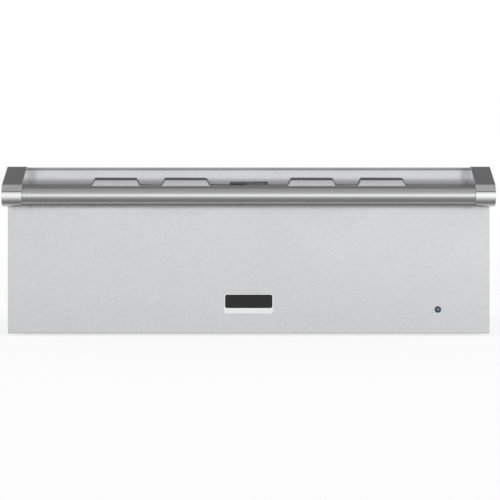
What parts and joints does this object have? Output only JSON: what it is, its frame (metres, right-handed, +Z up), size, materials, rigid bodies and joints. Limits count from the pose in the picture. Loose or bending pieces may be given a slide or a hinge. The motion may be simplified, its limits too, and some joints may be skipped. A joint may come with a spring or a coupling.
{
  "type": "countertop warming drawer",
  "caption": "Free-standing insulated warming drawer with a full-extension drawer, tubular handle over a vented finger recess, vent slider and thermostat knob.",
  "frame": {"origin": "under the middle of the overall box, on the surface that the feet stand on", "axes": "+X to the right seen from the front, +Y to the back (the drawer opens along -Y), +Z up"},
  "size_m": [0.749, 0.657, 0.263],
  "materials": {
    "brushed_front": "fine vertical and horizontal brushed stainless steel, soft sheen",
    "handle_steel": "satin bar brushed along its length",
    "bracket_steel": "semi-polished cast metal",
    "badge_chrome": "bright polished",
    "badge_black": "gloss black, bare",
    "indicator_dark": "dark navy ring",
    "indicator_blue": "blue lens",
    "clear_guide": "clear light guide",
    "galvanised": "zinc coated sheet",
    "liner_steel": "bright mill finish",
    "rail_steel": "zinc plated",
    "pan_steel": "satin stainless pan",
    "rack_chrome": "bright plated wire",
    "screw_steel": "plated",
    "element_sheath": "dark oxidised sheath",
    "copper_bulb": "bare copper",
    "gasket_rubber": "matt silicone",
    "foot_rubber": "matt black rubber",
    "knob_plastic": "moulded black",
    "control_plastic": "moulded dark",
    "block_ceramic": "pale moulded block",
    "wool": "glass wool slab"
  },
  "bodies": {
    "case": {"slide_outer_left": "rail_steel", "slide_outer_right": "rail_steel", "slide_screws": "screw_steel", "front_frame": "brushed_front", "frame_bumpers": "gasket_rubber", "base_pan": "galvanised", "side_panel_left": "galvanised", "side_panel_right": "galvanised", "top_panel": "galvanised", "back_panel": "galvanised", "case_screws": "screw_steel", "cavity_liner": "liner_steel", "insulation_floor": "wool", "insulation_left": "wool", "insulation_right": "wool", "insulation_top": "wool", "insulation_back": "wool", "heating_element": "element_sheath", "element_clips": "rail_steel", "thermostat_body": "control_plastic", "dial_ring": "badge_chrome", "thermostat_bulb": "copper_bulb", "bulb_clips": "rail_steel", "thermal_cutout": "control_plastic", "terminal_block": "block_ceramic", "junction_cover": "galvanised", "indicator_led": "clear_guide", "cable_gland": "control_plastic", "rubber_feet": "foot_rubber"},
    "drawer": {"front_skin": "brushed_front", "front_inner_panel": "galvanised", "front_insulation": "wool", "door_gasket": "gasket_rubber", "shutter_guides": "galvanised", "handle_bar": "handle_steel", "handle_bracket_left": "bracket_steel", "handle_bracket_right": "bracket_steel", "bracket_screws": "screw_steel", "bracket_plates": "galvanised", "badge_plate": "badge_chrome", "badge_inlay": "badge_black", "indicator_ring": "indicator_dark", "indicator_lens": "indicator_blue", "light_pipe": "clear_guide", "drawer_rail_left": "rail_steel", "drawer_rail_right": "rail_steel", "drawer_rail_front": "rail_steel", "drawer_rail_back": "rail_steel", "rail_screws": "screw_steel", "food_pan": "pan_steel", "wire_rack": "rack_chrome", "slide_inner_left": "rail_steel", "slide_inner_right": "rail_steel"},
    "left_slide_middle": {"slide_middle_left": "rail_steel", "slide_balls_left": "screw_steel"},
    "right_slide_middle": {"slide_middle_right": "rail_steel", "slide_balls_right": "screw_steel"},
    "vent_slider": {"vent_shutter": "brushed_front"},
    "knob": {"thermostat_knob": "knob_plastic", "thermostat_shaft": "screw_steel"}
  },
  "joints": [
    {"name": "drawer_slide", "type": "slide", "parent": "case", "child": "drawer", "axis": [0, -1, 0], "range_m": [0, 0.43]},
    {"name": "left_slide_extend", "type": "slide", "parent": "case", "child": "left_slide_middle", "axis": [0, -1, 0], "range_m": [0, 0.215]},
    {"name": "right_slide_extend", "type": "slide", "parent": "case", "child": "right_slide_middle", "axis": [0, -1, 0], "range_m": [0, 0.215]},
    {"name": "vent_slide", "type": "slide", "parent": "drawer", "child": "vent_slider", "axis": [1, 0, 0], "range_m": [0, 0.019]},
    {"name": "thermostat_turn", "type": "hinge", "parent": "case", "child": "knob", "pos_m": [0.25, -0.2005, 0.239], "axis": [0, 1, 0], "range_deg": [0, 270]}
  ],
  "couplings": [
    {"joint": "left_slide_extend", "follows": "drawer_slide", "ratio": 0.5},
    {"joint": "right_slide_extend", "follows": "drawer_slide", "ratio": 0.5}
  ]
}
